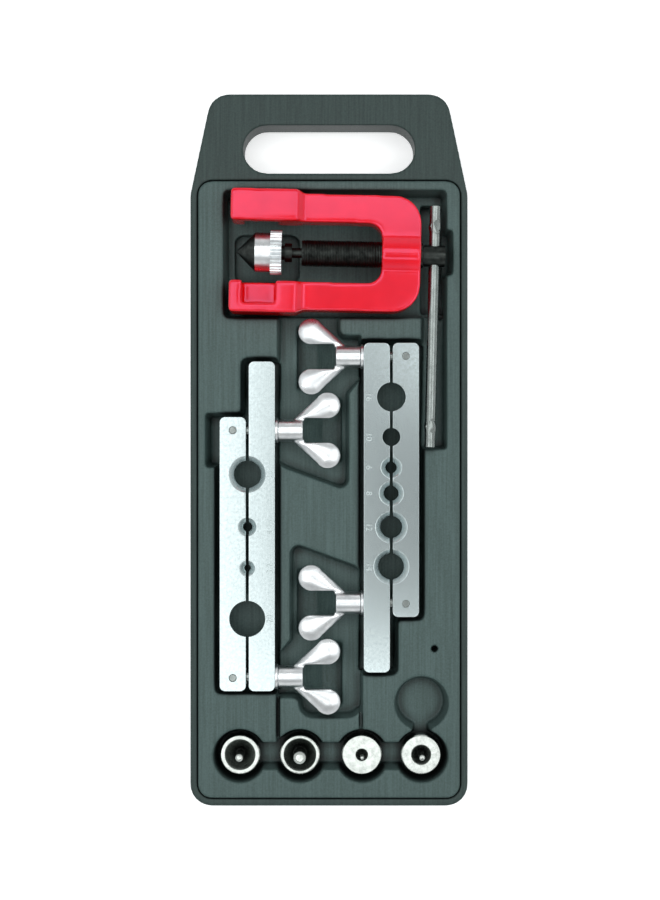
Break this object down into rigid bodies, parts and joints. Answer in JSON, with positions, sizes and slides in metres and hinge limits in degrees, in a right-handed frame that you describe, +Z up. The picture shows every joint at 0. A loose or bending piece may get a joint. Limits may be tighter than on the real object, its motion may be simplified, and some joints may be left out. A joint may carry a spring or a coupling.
{
  "type": "flaring tool kit",
  "caption": "Tube flaring kit in a carry tray: a red C-yoke with feed screw and sliding T-bar, split clamping bars with wing nuts, and double-flare adapters.",
  "frame": {"origin": "centre of the tray's underside", "axes": "+Z up out of the tray, +Y towards the carry handle, +X to the side of the T-bar"},
  "size_m": [0.156, 0.4, 0.0463],
  "materials": {
    "case_plastic": "satin",
    "insert_plastic": "satin",
    "red_enamel": "gloss",
    "black_oxide": "satin",
    "bright_steel": "satin",
    "plated_steel": "satin",
    "chrome": "polished",
    "adapter_steel": "satin"
  },
  "bodies": {
    "tray": {"case_shell": "case_plastic", "case_insert": "insert_plastic"},
    "yoke": {"yoke": "red_enamel"},
    "thrust": {"thrust_ball": "bright_steel"},
    "screw": {"feed_screw": "black_oxide", "retaining_ring": "bright_steel"},
    "cone": {"flare_cone": "black_oxide", "cone_cap": "chrome"},
    "handle": {"t_bar": "bright_steel"},
    "right_bar": {"right_bar_long": "plated_steel", "right_washers": "chrome"},
    "right_jaw": {"right_bar_short": "plated_steel", "right_pins": "bright_steel", "right_bolts": "bright_steel"},
    "right_nut_upper": {"right_nut_upper": "chrome"},
    "right_nut_lower": {"right_nut_lower": "chrome"},
    "left_bar": {"left_bar_long": "plated_steel", "left_washers": "chrome"},
    "left_jaw": {"left_bar_short": "plated_steel", "left_pins": "bright_steel", "left_bolts": "bright_steel"},
    "left_nut_upper": {"left_nut_upper": "chrome"},
    "left_nut_lower": {"left_nut_lower": "chrome"},
    "adapter_1": {"adapter_1": "adapter_steel"},
    "adapter_2": {"adapter_2": "adapter_steel"},
    "adapter_3": {"adapter_3": "adapter_steel"},
    "adapter_4": {"adapter_4": "adapter_steel"}
  },
  "joints": [
    {"name": "yoke_lift", "type": "slide", "parent": "tray", "child": "yoke", "axis": [0, 0, 1], "range_m": [0, 0.12]},
    {"name": "screw_feed", "type": "slide", "parent": "yoke", "child": "thrust", "axis": [-0.9997, 0.0227, 0], "range_m": [0, 0.00075]},
    {"name": "screw_turn", "type": "hinge", "parent": "thrust", "child": "screw", "pos_m": [0.0588, 0.1084, 0.034], "axis": [-0.9997, 0.0227, 0], "range_deg": [0, 180]},
    {"name": "cone_spin", "type": "hinge", "parent": "thrust", "child": "cone", "pos_m": [-0.04117, 0.11067, 0.034], "axis": [-0.9997, 0.0227, 0], "continuous": true},
    {"name": "handle_slide", "type": "slide", "parent": "screw", "child": "handle", "axis": [0.0227, 0.9997, 0], "range_m": [-0.005, 0.084]},
    {"name": "right_bar_lift", "type": "slide", "parent": "tray", "child": "right_bar", "axis": [0, 0, 1], "range_m": [0, 0.1]},
    {"name": "right_jaw_open", "type": "slide", "parent": "right_bar", "child": "right_jaw", "axis": [1, 0, 0], "range_m": [-0.00125, 0.00125]},
    {"name": "right_nut_upper_turn", "type": "hinge", "parent": "right_bar", "child": "right_nut_upper", "pos_m": [0.0098, 0.0524, 0.03], "axis": [-1, 0, 0], "range_deg": [-450, 450]},
    {"name": "right_nut_lower_turn", "type": "hinge", "parent": "right_bar", "child": "right_nut_lower", "pos_m": [0.0098, -0.0858, 0.03], "axis": [-1, 0, 0], "range_deg": [-450, 450]},
    {"name": "left_bar_lift", "type": "slide", "parent": "tray", "child": "left_bar", "axis": [0, 0, 1], "range_m": [0, 0.1]},
    {"name": "left_jaw_open", "type": "slide", "parent": "left_bar", "child": "left_jaw", "axis": [-1, 0, 0], "range_m": [-0.00125, 0.00125]},
    {"name": "left_nut_upper_turn", "type": "hinge", "parent": "left_bar", "child": "left_nut_upper", "pos_m": [-0.0206, 0.011, 0.03], "axis": [1, 0, 0], "range_deg": [-450, 450]},
    {"name": "left_nut_lower_turn", "type": "hinge", "parent": "left_bar", "child": "left_nut_lower", "pos_m": [-0.0206, -0.1272, 0.03], "axis": [1, 0, 0], "range_deg": [-450, 450]},
    {"name": "adapter_1_lift", "type": "slide", "parent": "tray", "child": "adapter_1", "axis": [0, 0, 1], "range_m": [0, 0.06]},
    {"name": "adapter_2_lift", "type": "slide", "parent": "tray", "child": "adapter_2", "axis": [0, 0, 1], "range_m": [0, 0.06]},
    {"name": "adapter_3_lift", "type": "slide", "parent": "tray", "child": "adapter_3", "axis": [0, 0, 1], "range_m": [0, 0.06]},
    {"name": "adapter_4_lift", "type": "slide", "parent": "tray", "child": "adapter_4", "axis": [0, 0, 1], "range_m": [0, 0.06]}
  ],
  "couplings": [
    {"joint": "screw_feed", "follows": "screw_turn", "m_per_rad": 0.00023873},
    {"joint": "right_nut_upper_turn", "follows": "right_jaw_open", "rad_per_m": 6283.2},
    {"joint": "right_nut_lower_turn", "follows": "right_jaw_open", "rad_per_m": 6283.2},
    {"joint": "left_nut_upper_turn", "follows": "left_jaw_open", "rad_per_m": 6283.2},
    {"joint": "left_nut_lower_turn", "follows": "left_jaw_open", "rad_per_m": 6283.2}
  ]
}
